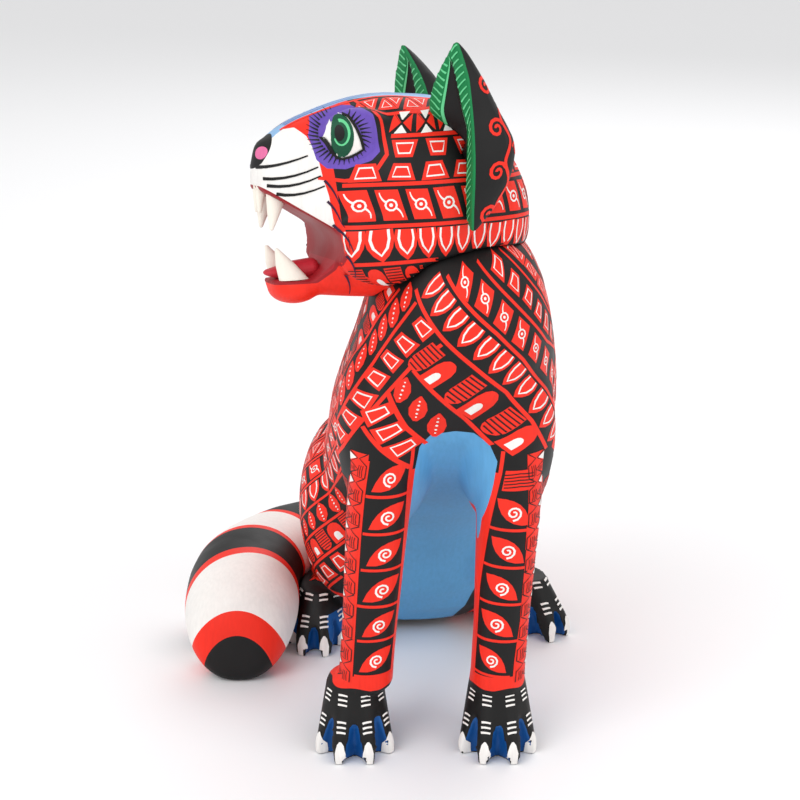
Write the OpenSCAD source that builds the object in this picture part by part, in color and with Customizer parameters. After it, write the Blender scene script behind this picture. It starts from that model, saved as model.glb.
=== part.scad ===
// Alebrije: a seated raccoon carved from copal wood, head turned to one side,
// jaws open, with two plug-in ears and a plug-in ringed tail.
// Millimetres. +Z up, the chest faces -Y, the snout points towards -X.
// The origin is on the ground, under the middle of the figure's bounding box.

/* [Torso] */
// Half width of the torso at its widest, at chest height
chest_half_w = 42; // [36:0.5:48]
// Half width of the haunches across both thighs
rump_half_w = 44; // [38:0.5:50]
// How far the back slopes out behind the front legs at rump height
rump_back_y = 106; // [96:1:118]
// Height of the shoulders, where the head sits down over the neck
shoulder_z = 186; // [176:1:196]
// How far the upper torso leans to the figure's left
lean_x = 10; // [0:0.5:14]

/* [Front legs] */
// Distance between the centre lines of the two front legs
leg_spacing = 47; // [43:0.5:54]
// Half width of a front leg between the elbow and the ankle
leg_half_w = 10.8; // [9:0.2:12]
// Distance of the front legs in front of the torso's middle
leg_y = -45; // [-52:0.5:-42]

/* [Paws] */
// Height of a paw at the ankle
paw_h = 27; // [22:0.5:32]
// Half width of a front paw over its outer toes
front_paw_half_w = 14; // [12:0.5:17]
// Half width of a hind paw over its outer toes
hind_paw_half_w = 12.5; // [10:0.5:14]
// Length of a front paw from heel to toes
front_paw_l = 40; // [34:1:46]
// Length of a hind paw from heel to toes
hind_paw_l = 50; // [42:1:58]
// Half width of one toe ridge
toe_half_w = 3; // [2:0.2:4]

/* [Head] */
// Height of the middle of the skull
head_z = 200; // [190:1:210]
// How far the snout is turned from the figure's right towards its front, in degrees
head_turn = 18; // [0:1:40]
// Roll of the head that lifts its left cheek, in degrees
head_roll = 8.5; // [0:0.5:10]
// Half width of the skull between the cheeks
skull_half_w = 34; // [30:0.5:38]
// Length of the snout in front of the middle of the skull
snout_l = 63; // [56:0.5:70]
// Length of the skull behind its middle
skull_back_l = 35; // [31:0.5:40]
// Depth of the open mouth, from the front of the snout to its corner
mouth_depth = 24.5; // [20:0.5:28]
// Gap between the jaws at the front of the mouth
mouth_gap = 32; // [26:0.5:34]

/* [Teeth and tongue] */
// Length of an upper fang below the gum
upper_fang_l = 9; // [7:0.5:11]
// Length of a lower fang above the gum
lower_fang_l = 10.5; // [8:0.5:12]
// Radius of the round root that plugs each tooth into its jaw
tooth_root_r = 1.6; // [1.2:0.1:2]
// Depth of each tooth's hole in the jaw
tooth_root_l = 3; // [2.5:0.5:4]
// Half width of the tongue
tongue_half_w = 7; // [5:0.5:9]

/* [Ears] */
// Height of an ear from its lower tip to its upper tip
ear_h = 63; // [54:1:68]
// Width of an ear between its two rims
ear_w = 22; // [18:0.5:26]
// Depth of an ear from its rims to its rounded back
ear_d = 18.5; // [15:0.5:21]
// Distance of an ear's upper tip from the middle of the head
ear_tip_side = 35; // [30:0.5:40]
// Radius of the carved peg that plugs an ear into the head
ear_peg_r = 3; // [2:0.1:4]
// Length of an ear's peg inside the head
ear_peg_l = 10; // [7:0.5:12]

/* [Tail] */
// Radius of the tail at its fattest, near the tip
tail_r = 23; // [19:0.5:25]
// Radius of the tail where it meets the rump
tail_root_r = 14; // [11:0.5:16]
// Distance of the tail's middle line from the figure's middle line
tail_side = 73.5; // [70:0.5:80]
// How far forward the tail's tip reaches
tail_tip_y = 4; // [0:1:20]
// Radius of the carved peg that plugs the tail into the rump
tail_peg_r = 5; // [4:0.2:6]
// Length of the tail's peg inside the rump
tail_peg_l = 16; // [12:1:20]

/* [Neck dowel] */
// Radius of the dowel that carries the head
neck_dowel_r = 6; // [4:0.5:7]
// Length of the dowel on each side of the neck joint
neck_dowel_l = 16; // [12:1:20]

/* [Fits] */
// Gap all round a peg that pulls out of its hole
peg_gap = 0.1; // [0.05:0.05:0.3]
// Gap between a plug-in piece and the carving that it seats on
seat_gap = 0.4; // [0.3:0.1:1]
// Gap for glue around the head's and the teeth's roots
glue_gap = 0.05; // [0.02:0.01:0.1]

/* [Hidden] */
sides = 32;          // corners of every carved cross-section
skin = 0.01;         // lets two solids share a face without leaving a crack
red = [0.93, 0.19, 0.10];
ivory = [0.93, 0.91, 0.86];

// ---- smooth stations: each row is a list of sizes, blended by a Catmull-Rom curve ----
function blend4(a, b, c, d, t) =
    0.5 * (2 * b + (c - a) * t + (2 * a - 5 * b + 4 * c - d) * t * t + (3 * b - a - 3 * c + d) * t * t * t);
function at(rows, i) = rows[max(0, min(len(rows) - 1, i))];
function smooth(rows, per) =
    [for (i = [0 : len(rows) - 2], k = [0 : per - 1])
        blend4(at(rows, i - 1), at(rows, i), at(rows, i + 1), at(rows, i + 2), k / per),
     rows[len(rows) - 1]];

// A rounded cross-section: centre c, half widths a and b along the unit vectors u and v.
// square above 1 fills its corners a little, as a knife-cut blank does.
function pull(x, square) = sign(x) * pow(abs(x), 1 / square);
function ring(c, u, v, a, b, square = 1.12) =
    [for (i = [0 : sides - 1]) let (t = 360 * i / sides)
        c + u * (a * pull(cos(t), square)) + v * (b * pull(sin(t), square))];

// One closed skin through a row of rings, with a flat face at each end.
module loft(rings) {
    n = len(rings[0]);
    last = (len(rings) - 1) * n;
    polyhedron(points = [for (r = rings) each r], faces = concat(
        [[for (i = [0 : n - 1]) i], [for (i = [n - 1 : -1 : 0]) last + i]],
        [for (k = [0 : n : last - n], i = [0 : n - 1]) let (j = (i + 1) % n) [k + i, k + n + i, k + n + j]],
        [for (k = [0 : n : last - n], i = [0 : n - 1]) let (j = (i + 1) % n) [k + i, k + n + j, k + j]]));
}

X = [1, 0, 0];
Y = [0, 1, 0];
Z = [0, 0, 1];

// ---- torso: level cross-sections, rows of [x, y, z, half width, half depth] ----
torso_rows = [
    [-12, rump_back_y - 22,   0, rump_half_w - 20, 15],
    [-8, rump_back_y - 29,   7, rump_half_w - 7, 28],
    [-4, rump_back_y - 38,  28, rump_half_w - 1, 40],
    [-2, rump_back_y - 50,  58, rump_half_w + 0.5, 46],
    [0.3 * lean_x, rump_back_y - 73, 88, chest_half_w + 0.5, 54],
    [0.65 * lean_x, 11, 118, chest_half_w, 58],
    [0.95 * lean_x, -5, 146, chest_half_w - 5.5, 52],
    [1.05 * lean_x, -12, shoulder_z - 17, chest_half_w - 11.5, 42],
    [1.0 * lean_x, -13, shoulder_z - 4, chest_half_w - 18, 31],
    [1.0 * lean_x, -13, shoulder_z, chest_half_w - 24, 22]];
module torso(grow = 0) {
    loft([for (r = smooth(torso_rows, 2))
        ring([r[0], r[1], r[2] + (r[2] > shoulder_z - 4 ? grow : 0)], X, Y, r[3] + grow, r[4] + grow)]);
}

// ---- thighs and shoulders: side is 1 for the figure's left, which is +X ----
module lump(c, r) { hull() translate(c) scale(r) sphere(r = 1, $fn = 32); }
thigh_r = [21, 33, 34];
module thigh(side, grow = 0) {
    lump([side * (rump_half_w - thigh_r[0] + 3.5) - 3, side > 0 ? 50 : 44, side > 0 ? 58 : 60],
        thigh_r + [0, 0, side > 0 ? 0 : 5] + grow * [1, 1, 1]);
}
module shoulder(side) { lump([0.65 * lean_x + side * (chest_half_w - 21), -26, 116], [18.5, 26, 38]); }

// ---- front legs: rows of [x, y, z, half width, half depth], from the ankle up into the shoulder ----
leg_mid_x = 3.5;     // the front feet stand a little to the figure's left of the rump
leg_tilt = [0.075, 0.05];    // how far the right and the left leg lean to the figure's left, per mm up
function leg_x(side, z) = leg_mid_x + side * leg_spacing / 2 + leg_tilt[side < 0 ? 0 : 1] * (z - 60);
function leg_rows(side) = [
    [leg_x(side, paw_h - 2), leg_y, paw_h - 2, leg_half_w - 0.8, 11.4],
    [leg_x(side, 46), leg_y, 46, leg_half_w - 0.8, 11.2],
    [leg_x(side, 72), leg_y + 1.5, 72, leg_half_w, 12.5],
    [leg_x(side, 100), leg_y + 6, 100, leg_half_w + 0.9, 15.5],
    [leg_x(side, 120) - side * 1.5, leg_y + 13, 122, leg_half_w + 0.5, 16],
    [leg_x(side, 128) - side * 3, leg_y + 22, 138, leg_half_w - 2, 12]];
module front_leg(side) {
    loft([for (r = smooth(leg_rows(side), 2)) ring([r[0], r[1], r[2]], X, Y, r[3], r[4])]);
}

// ---- paws: a mitten that widens down to four toe ridges, toes towards -Y before it is turned ----
// Each toe stands at [x, y] and the blade of the knife takes a V out between two neighbours.
function toe_places(half_w, l) =
    [for (s = [[-1, 0.30], [-0.43, 0.5], [0.43, 0.5], [1, 0.30]])
        [s[0] * (half_w - toe_half_w), -s[1] * l + toe_half_w]];
module toe_notch(a, b, top, reach) {
    mid = (a + b) / 2;
    gap = (b - a) / norm(b - a);
    out = [gap[1], -gap[0]];     // outwards, away from the palm
    half = norm(b - a) / 2 - 0.9;
    apex = mid * 0.80 + out * 1.5;
    hull() {
        translate([apex[0], apex[1], top]) sphere(r = 0.4, $fn = 12);
        translate([0, 0, -1]) linear_extrude(height = 1)
            polygon([mid - out * 5, mid - gap * half + out * 1.5, mid + out * reach * 2,
                mid + gap * half + out * 1.5]);
        translate([apex[0] + out[0] * reach * 2, apex[1] + out[1] * reach * 2, top]) sphere(r = 0.4, $fn = 12);
        translate([0, 0, -1]) linear_extrude(height = 1) polygon([mid - gap * half + out * reach * 2,
            mid - gap * half, mid + gap * half, mid + gap * half + out * reach * 2]);
    }
}
module paw(half_w, l, top, ankle) {
    places = toe_places(half_w, l);
    difference() {
        hull() {
            translate([0, 0, top - 3]) scale([ankle[0], ankle[1], 3]) cylinder(h = 1, r = 1, $fn = 32);
            translate([0, l * 0.2, 0]) scale([half_w - 4, l * 0.3, 5]) cylinder(h = 1, r = 1, $fn = 32);
            for (c = places) translate([c[0], c[1], 0]) {
                cylinder(h = 5, r = toe_half_w, $fn = 24);
                translate([-c[0] * 0.08, 1.5, 8]) sphere(r = toe_half_w, $fn = 24);
            }
        }
        for (i = [0 : 2]) toe_notch(places[i], places[i + 1], top * 0.62, toe_half_w + 2);
    }
}
module front_paw(side) {
    translate([leg_x(side, 0) - (side < 0 ? 2 : -1.5), leg_y + 2, 0])
        paw(front_paw_half_w, front_paw_l, paw_h, [leg_half_w - 0.8, 11.6]);
}
// The left hind foot is splayed out to the side, the right one points ahead.
hind_toes = [[-45, 28], [56, 45]];
hind_splay = [-6, 44];
module hind_paw(side, grow = 0) {
    i = side < 0 ? 0 : 1;
    grown = grow * [1, 1, 1];
    translate([hind_toes[i][0], hind_toes[i][1], 0]) rotate([0, 0, hind_splay[i]])
        translate([0, hind_paw_l / 2, 0]) {
            paw(hind_paw_half_w + grow, hind_paw_l + 2 * grow, paw_h - 4 + grow,
                [hind_paw_half_w - 3.5 + grow, 14 + grow]);
            // instep and heel running back under the thigh
            hull() {
                translate([0, 2, paw_h - 10]) scale([hind_paw_half_w - 3, 13, 7] + grown) sphere(r = 1, $fn = 32);
                translate([0, hind_paw_l * 0.42, 9]) scale([hind_paw_half_w - 3, 9, 9] + grown) sphere(r = 1, $fn = 32);
            }
        }
}

module carving() {
    torso();
    for (side = [-1, 1]) {
        thigh(side);
        shoulder(side);
        front_leg(side);
        front_paw(side);
        hind_paw(side);
    }
}

// ---- the head's own frame: x along the snout, y to the head's left, z up ----
head_x = 0;
head_y = -12.5;
module head_frame() {
    translate([head_x, head_y, head_z]) rotate([0, 0, 180 + head_turn]) rotate([head_roll, 0, 0]) children();
}
// Skull and snout: rows of [x, height of the middle, half width, half height, squareness]
skull_rows = [
    [-skull_back_l, -10, 5, 6, 1.05],
    [-skull_back_l + 3, -9, 15, 15, 1.05],
    [-skull_back_l + 12, -6, 26, 26, 1.05],
    [-9, -2, skull_half_w - 2, 33.5, 1.08],
    [8, -1, skull_half_w, 35.5, 1.1],
    [21, -0.5, skull_half_w - 3.5, 35.5, 1.12],
    [33, -1, skull_half_w - 10.5, 34, 1.15],
    [44, -2, skull_half_w - 15, 31.5, 1.25],
    [snout_l - 12, -3, skull_half_w - 17.5, 29.5, 1.35],
    [snout_l - 5, -4.5, skull_half_w - 20, 26.5, 1.4],
    [snout_l - 1.5, -5.5, skull_half_w - 23, 22.5, 1.4],
    [snout_l, -6, skull_half_w - 26, 18, 1.3]];
module skull(grow = 0) {
    loft([for (r = smooth(skull_rows, 2)) ring([r[0], 0, r[1]], Y, Z, r[2] + grow, r[3] + grow, r[4])]);
}
mouth_back = snout_l - mouth_depth;   // x of the back of the mouth
lower_gum_z = -27;
upper_gum_z = lower_gum_z + mouth_gap;  // at the front; it slopes down to the back of the mouth
mouth_r = 9;          // radius of the rounded back of the mouth
module mouth() {
    rotate([90, 0, 0]) linear_extrude(height = 4 * skull_half_w, center = true) hull() {
        translate([mouth_back + mouth_r, lower_gum_z + mouth_r + 2]) circle(r = mouth_r, $fn = 48);
        polygon([[snout_l + 4, upper_gum_z + 2], [snout_l + 4, lower_gum_z], [snout_l - 17, lower_gum_z]]);
    }
    // the lower jaw is a little shorter than the upper one
    translate([snout_l - 3, -2 * skull_half_w, lower_gum_z - 20]) cube([30, 4 * skull_half_w, mouth_gap]);
}
function gum_slope(x) = upper_gum_z + 2 - (snout_l + 4 - x) * 0.68;
// Knobs left standing on the skull: nose, brows over the eyes, cheeks behind the mouth, and the chin.
module nose(grow = 0) {
    hull() {
        translate([snout_l - 6, 0, 17]) scale([5.5, 7.5, 5]) sphere(r = 1 + grow / 5, $fn = 32);
        translate([snout_l - 3.5, 0, 11.5]) scale([4.5, 6, 5]) sphere(r = 1 + grow / 5, $fn = 32);
    }
}
module brow(side, grow = 0) { lump([30, side * 18, 22], [13, 7.5, 9] + grow * [1, 1, 1]); }
module cheek(side, grow = 0) { lump([22, side * (skull_half_w - 13), -16], [20, 10, 14] + grow * [1, 1, 1]); }
module chin(grow = 0) { lump([snout_l - 12, 0, lower_gum_z - 3.5], [9, 12, 5.5] + grow * [1, 1, 1]); }
module nostril(side) {
    hull() {
        translate([snout_l + 0.5, side * 5.5, 13]) sphere(r = 1.1, $fn = 16);
        translate([snout_l - 4, side * 8, 15]) sphere(r = 0.7, $fn = 16);
    }
}
module head_wood(grow = 0) {
    skull(grow);
    nose(grow);
    chin(grow);
    for (side = [-1, 1]) {
        brow(side, grow);
        cheek(side, grow);
    }
}

// ---- teeth: rows of places on the jaws, side 1 is the head's left ----
function upper_fang_at(side) = [snout_l - 6, side * 7.5, gum_slope(snout_l - 6)];
function lower_fang_at(side) = [snout_l - 11, side * 7.2, lower_gum_z];
function incisor_at(side) = [snout_l - 1.8, side * 2, gum_slope(snout_l - 1.8)];
module root_hole(c, up) {
    translate(c + [0, 0, up ? -1 : -tooth_root_l])
        cylinder(h = tooth_root_l + 1, r = tooth_root_r + glue_gap, $fn = 24);
}
module tooth_root(c, up) {
    translate(c + [0, 0, up ? -1 : -tooth_root_l + 0.3])
        cylinder(h = tooth_root_l + 0.7, r = tooth_root_r, $fn = 24);
}
// A fang is a whittled cone, wider along the jaw than across it, leaning towards the tip's offset.
module fang(base, tip, half_l, half_w) {
    hull() {
        translate(base) scale([half_l, half_w, 1]) cylinder(h = skin, r = 1, $fn = 24);
        translate(base + 0.55 * tip) scale([half_l * 0.62, half_w * 0.7, 1]) sphere(r = 1, $fn = 24);
        translate(base + tip) sphere(r = 0.8, $fn = 16);
    }
}

// ---- ears: level cross-sections in the head's frame, flat in front and round behind ----
ear_low_z = -12;
ear_front_x = -2;
// rows of [share of the height, inner rim, outer rim, depth]; rims are measured from the upper tip's side
ear_rows = [
    [0.00, 1.5, 3.5, 0.10],
    [0.11, -4, 4.5, 0.50],
    [0.24, -8.5, 6.5, 0.82],
    [0.40, -13, 8, 1.00],
    [0.56, -15, 7.8, 0.92],
    [0.70, -13.5, 6.5, 0.72],
    [0.83, -9.5, 4.6, 0.48],
    [0.94, -4, 2.2, 0.24],
    [1.00, -0.8, 0.6, 0.06]];
function ear_ring(r) =
    let (k = ear_w / 22, inner = ear_tip_side + r[1] * k, outer = ear_tip_side + r[2] * k,
         mid = (inner + outer) / 2, half = (outer - inner) / 2, z = ear_low_z + r[0] * ear_h)
    [for (i = [0 : 16]) let (t = 180 * i / 16) [ear_front_x - r[3] * ear_d * sin(t), mid + half * cos(t), z]];
// A left piece, or its mirror image on the right.
module sided(side) {
    if (side > 0) children();
    else mirror([0, 1, 0]) children();
}
module ear_leaf() { loft([for (r = smooth(ear_rows, 2)) ear_ring(r)]); }
// The carved hollow in front: an inner and an outer flat that meet deepest along the middle of its diamond.
module ear_hollow() {
    rim = 1.6;
    middle = ear_tip_side - 3;
    for (edge = [5, -5.5]) hull() {
        for (r = [[0.20, 0], [0.55, edge], [0.90, 0]])
            translate([ear_front_x + rim / 2, middle + r[1], ear_low_z + r[0] * ear_h]) sphere(r = rim, $fn = 16);
        translate([ear_front_x - 3.2, middle, ear_low_z + 0.55 * ear_h]) sphere(r = rim, $fn = 16);
    }
}
// The peg leaves the ear sideways and a little upwards when it is pulled.
ear_pull = 40;       // slope of the ear's peg above level, in degrees
module ear_peg_axis(side) {
    translate([-6, side * (skull_half_w - 4), 14]) rotate([side * -(90 - ear_pull), 0, 0]) children();
}
module ear(side) {
    color("seagreen") head_frame() {
        difference() {
            sided(side) difference() {
                ear_leaf();
                ear_hollow();
            }
            head_wood(seat_gap);
        }
        ear_peg_axis(side) translate([0, 0, -ear_peg_l]) cylinder(h = ear_peg_l + 8, r = ear_peg_r, $fn = 48);
    }
}

// ---- tail: it leaves the rump at the back, curls round the right side and lies on the ground ----
tail_mid_z = tail_r * 0.94 - 0.5;
// rows of [x, y, height of the middle, radius]
tail_rows = [
    [-12, rump_back_y - 18, tail_mid_z, tail_root_r],
    [-25, rump_back_y - 5.5, tail_mid_z, tail_root_r + 2],
    [-47, rump_back_y - 9, tail_mid_z, tail_root_r + 6],
    [-tail_side + 9.5, rump_back_y - 28, tail_mid_z, tail_r - 1.5],
    [-tail_side + 1, 57, tail_mid_z, tail_r],
    [-tail_side, tail_tip_y + 31, tail_mid_z, tail_r],
    [-tail_side, tail_tip_y + 18, tail_mid_z - 1, tail_r - 1],
    [-tail_side, tail_tip_y + 8, tail_mid_z - 3.5, tail_r - 3.5],
    [-tail_side, tail_tip_y + 2.5, tail_mid_z - 7, tail_r - 7.5],
    [-tail_side, tail_tip_y, tail_mid_z - 10.5, tail_r - 12.5]];
function level(v) = let (w = [v[0], v[1], 0]) w / norm(w);
tail_line = smooth(tail_rows, 2);
function tail_dir(i) = level(at(tail_line, i + 1) - at(tail_line, i - 1));
function tail_ring(i) =
    let (r = tail_line[i], d = tail_dir(i)) ring([r[0], r[1], r[2]], [-d[1], d[0], 0], Z, r[3], 0.96 * r[3], 1.05);
tail_peg_dir = 128;  // heading in which the tail pulls off, in degrees from +X
module tail_peg_axis() {
    translate([-20, rump_back_y - 14, tail_mid_z]) rotate([0, 0, tail_peg_dir])
        rotate([0, 90, 0]) children();
}
module tail() {
    color("whitesmoke") intersection() {
        union() {
            difference() {
                loft([for (i = [0 : len(tail_line) - 1]) tail_ring(i)]);
                torso(seat_gap);
                thigh(-1, seat_gap);
                hind_paw(-1, seat_gap);
                hind_paw(1, seat_gap);
            }
            tail_peg_axis() translate([0, 0, -tail_peg_l]) cylinder(h = tail_peg_l + 22, r = tail_peg_r, $fn = 48);
        }
        translate([-200, -200, 0]) cube([400, 600, 400]);
    }
}

// ---- body, head and the pieces between them ----
module neck_axis() {
    translate([1.1 * lean_x - 3, head_y, shoulder_z]) children();
}
module body() {
    color(red) intersection() {
        difference() {
            carving();
            neck_axis() translate([0, 0, -neck_dowel_l - 1])
                cylinder(h = neck_dowel_l + 10, r = neck_dowel_r + glue_gap, $fn = 48);
            tail_peg_axis() translate([0, 0, -tail_peg_l - 1])
                cylinder(h = tail_peg_l + 30, r = tail_peg_r + peg_gap, $fn = 48);
        }
        translate([-200, -200, 0]) cube([400, 600, 400]);
    }
}
module head() {
    color(red) difference() {
        head_frame() difference() {
            difference() {
                head_wood();
                mouth();
                for (side = [-1, 1]) nostril(side);
            }
            for (side = [-1, 1]) {
                ear_peg_axis(side) translate([0, 0, -ear_peg_l - 1])
                    cylinder(h = ear_peg_l + 20, r = ear_peg_r + peg_gap, $fn = 48);
                root_hole(upper_fang_at(side), true);
                root_hole(lower_fang_at(side), false);
                root_hole(incisor_at(side), true);
            }
        }
        torso(glue_gap);
        neck_axis() cylinder(h = neck_dowel_l + 1, r = neck_dowel_r + glue_gap, $fn = 48);
    }
}
module neck_dowel() {
    color("burlywood") neck_axis() translate([0, 0, -neck_dowel_l])
        cylinder(h = 2 * neck_dowel_l, r = neck_dowel_r, $fn = 48);
}
module ear_left() { ear(1); }
module ear_right() { ear(-1); }
// A tooth's crown is cut to the slope of the gum that it stands on.
module crown(base, tip, half_l, half_w) {
    intersection() {
        fang(base, tip, half_l, half_w);
        mouth();
    }
}
module upper_fang(side) {
    color(ivory) head_frame() {
        crown(upper_fang_at(side) + [0, 0, 3], [2.5, 0, -upper_fang_l - 3], 3.8, 2.8);
        tooth_root(upper_fang_at(side), true);
    }
}
module lower_fang(side) {
    color(ivory) head_frame() {
        crown(lower_fang_at(side) - [0, 0, 1], [6, 0, lower_fang_l + 1], 5.6, 2.7);
        tooth_root(lower_fang_at(side), false);
    }
}
module upper_fang_left() { upper_fang(1); }
module upper_fang_right() { upper_fang(-1); }
module lower_fang_left() { lower_fang(1); }
module lower_fang_right() { lower_fang(-1); }
module incisor(side) {
    color(ivory) head_frame() {
        crown(incisor_at(side) + [0, 0, 1.5], [0.8, 0, -7.5], 1.9, 1.7);
        tooth_root(incisor_at(side), true);
    }
}
module incisor_left() { incisor(1); }
module incisor_right() { incisor(-1); }
module tongue() {
    color("firebrick") head_frame() intersection() {
        hull() {
            translate([mouth_back + 6, 0, lower_gum_z + 3]) scale([3, tongue_half_w - 2, 3.5]) sphere(r = 1, $fn = 24);
            translate([snout_l - 13, 0, lower_gum_z + 2]) scale([5, tongue_half_w - 2.4, 4]) sphere(r = 1, $fn = 24);
            translate([snout_l - 4.5, 0, lower_gum_z + 2.4]) scale([3, tongue_half_w - 3.8, 1.4]) sphere(r = 1, $fn = 24);
        }
        mouth();
    }
}

// The origin is under the middle of the bounding box: tail to splayed toes, front toes to tail bend.
box_x = (hind_toes[1][0] + 3.9 - tail_side - 1.007 * tail_r) / 2;
box_y = (rump_back_y + 12.5 + leg_y + 2 - front_paw_l / 2) / 2;
module placed() { translate([-box_x, -box_y, 0]) children(); }

placed() body();
placed() head();
placed() neck_dowel();
placed() ear_left();
placed() ear_right();
placed() tail();
placed() tongue();
placed() incisor_left();
placed() incisor_right();
placed() upper_fang_left();
placed() upper_fang_right();
placed() lower_fang_left();
placed() lower_fang_right();
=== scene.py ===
# %% [markdown]
# # A painted wooden alebrije
# An alebrije is a copal-wood figure that is carved with a machete and knives, sanded, and then
# painted all over with fine repeated patterns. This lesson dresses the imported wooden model: first the
# smooth wood, then the grounds of paint, then the brushwork, which follows the wood's own surface.
# The frame comes first, because every piece rides on one of its bodies.

# %% Load the frame
import math
import bmesh
import bpy
import numpy as np
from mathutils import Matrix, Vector
from mathutils.bvhtree import BVHTree


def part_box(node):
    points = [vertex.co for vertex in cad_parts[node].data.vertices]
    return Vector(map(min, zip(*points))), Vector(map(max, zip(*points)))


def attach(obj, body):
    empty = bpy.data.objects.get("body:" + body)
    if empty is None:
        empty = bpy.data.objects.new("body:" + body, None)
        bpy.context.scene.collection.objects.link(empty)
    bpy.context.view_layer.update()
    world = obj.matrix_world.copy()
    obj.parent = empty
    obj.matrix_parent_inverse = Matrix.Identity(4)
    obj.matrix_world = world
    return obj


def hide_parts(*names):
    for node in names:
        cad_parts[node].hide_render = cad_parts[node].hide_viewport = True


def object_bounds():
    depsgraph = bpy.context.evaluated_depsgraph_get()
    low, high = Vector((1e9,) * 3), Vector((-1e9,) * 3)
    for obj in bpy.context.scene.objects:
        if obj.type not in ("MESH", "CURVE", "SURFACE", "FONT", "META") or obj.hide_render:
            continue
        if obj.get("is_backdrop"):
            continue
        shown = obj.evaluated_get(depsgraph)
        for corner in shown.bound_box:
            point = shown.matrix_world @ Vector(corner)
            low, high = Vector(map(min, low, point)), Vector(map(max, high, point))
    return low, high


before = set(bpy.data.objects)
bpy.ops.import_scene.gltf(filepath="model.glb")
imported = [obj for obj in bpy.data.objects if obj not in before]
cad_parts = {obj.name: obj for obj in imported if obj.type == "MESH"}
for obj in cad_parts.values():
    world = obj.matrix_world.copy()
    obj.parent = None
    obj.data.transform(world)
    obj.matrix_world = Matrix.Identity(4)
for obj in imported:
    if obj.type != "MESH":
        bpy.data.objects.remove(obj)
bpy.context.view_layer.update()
MM = 0.001

# %% [markdown]
# ## Places on the figure
# The neck dowel tells where the head and the shoulders sit. The head has a frame of its own: x runs
# along the snout, y to the animal's left cheek, z up. The torso is slanted, so its middle line runs
# from the rump, on the ground, up to the shoulders. Places are given in millimetres.

# %% Name the places
def turned(angle, axis):
    """A rotation about one axis, as a 3 x 3 array."""
    c, s = math.cos(math.radians(angle)), math.sin(math.radians(angle))
    if axis == "z":
        return np.array([[c, -s, 0], [s, c, 0], [0, 0, 1.0]])
    return np.array([[1.0, 0, 0], [0, c, -s], [0, s, c]])


def lengths(rows):
    """The length of each row's vector."""
    return np.linalg.norm(rows, axis=1)


dowel_low, dowel_high = (np.array(corner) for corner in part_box("neck_dowel"))
shoulder_mid = (dowel_low + dowel_high) / 2
HEAD_TURN, HEAD_ROLL = 18, 8.5
HEAD = turned(180 + HEAD_TURN, "z") @ turned(HEAD_ROLL, "x")
HEAD_MID = shoulder_mid + np.array([-8, 0, 14]) * MM
RUMP_MID = np.array([6.4, 56, 0]) * MM
CLIMB = (shoulder_mid + np.array([2, -0.5, 0]) * MM - RUMP_MID) / shoulder_mid[2]


def in_head(points):
    """Points of the row frame, in the head's own millimetres."""
    return (np.asarray(points) - HEAD_MID) @ HEAD / MM


def on_head(x, y, z):
    """A place in the head's own millimetres, in the row frame."""
    return HEAD_MID + HEAD @ np.array([x, y, z]) * MM


print("head at", np.round(HEAD_MID / MM, 1), "torso leans", np.round(CLIMB[:2], 2), "per unit of height")

# %% [markdown]
# ## Camera, floor and light
# The figure stands on a plain pale floor in soft studio light. A long lens a little above the horizon
# keeps the legs nearly parallel. The view transform stays plain, so the paints keep their full red.

# %% Set the stage
def new_object(name, data):
    """An object in the scene that holds some data."""
    thing = bpy.data.objects.new(name, data)
    bpy.context.scene.collection.objects.link(thing)
    return thing


def add_camera(target, distance, elevation, lens):
    camera = new_object("Camera", bpy.data.cameras.new("Camera"))
    rise = math.radians(elevation)
    camera.location = Vector(target) + Vector((0, -math.cos(rise), math.sin(rise))) * distance
    camera.rotation_euler = (math.pi / 2 - rise, 0, 0)
    camera.data.lens = lens
    camera.data.sensor_width = 36
    camera.data.clip_start = 0.01
    bpy.context.scene.camera = camera


def add_light(name, place, size, watts):
    lamp = bpy.data.lights.new(name, "AREA")
    lamp.shape, lamp.size, lamp.energy = "SQUARE", size, watts
    holder = new_object(name, lamp)
    holder.location = place
    holder.rotation_euler = (Vector((0, -0.02, 0.12)) - Vector(place)).to_track_quat("-Z", "Y").to_euler()


def add_floor(half):
    mesh = bpy.data.meshes.new("floor")
    corners = [(-half, -half, 0), (half, -half, 0), (half, half, 0), (-half, half, 0)]
    mesh.from_pydata(corners, [], [(0, 1, 2, 3)])
    floor = new_object("floor", mesh)
    material = bpy.data.materials.new("floor_white")
    material.use_nodes = True
    shader = material.node_tree.nodes["Principled BSDF"]
    shader.inputs["Base Color"].default_value = (0.93, 0.93, 0.94, 1)
    shader.inputs["Roughness"].default_value = 0.7
    mesh.materials.append(material)
    floor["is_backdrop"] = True


add_camera((0.00838, -0.02775, 0.118), distance=0.75, elevation=18, lens=90.8)
add_floor(4)
add_light("key", (-0.7, -0.9, 1.1), 0.9, 8)
add_light("fill", (0.9, -0.7, 0.7), 1.0, 3.5)
add_light("back", (0.3, 1.0, 0.9), 0.9, 4)
world = bpy.data.worlds.new("studio")
world.use_nodes = True
world.node_tree.nodes["Background"].inputs["Color"].default_value = (1, 1, 1, 1)
world.node_tree.nodes["Background"].inputs["Strength"].default_value = 0.78
bpy.context.scene.world = world
bpy.context.scene.view_settings.view_transform = "Standard"
print("camera, floor and three soft lights are set")

# %% [markdown]
# ## Smooth wood
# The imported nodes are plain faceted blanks. A carver sands them until one form runs into the next. So
# each is copied, its loose triangles are merged, a voxel remesh gives even small faces, and the surface
# is relaxed: every point moves part of the way to the middle of its neighbours. The paws get almost
# none of this and the ears only a little, so the toe notches and the rims of the ears stay crisp.

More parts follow.
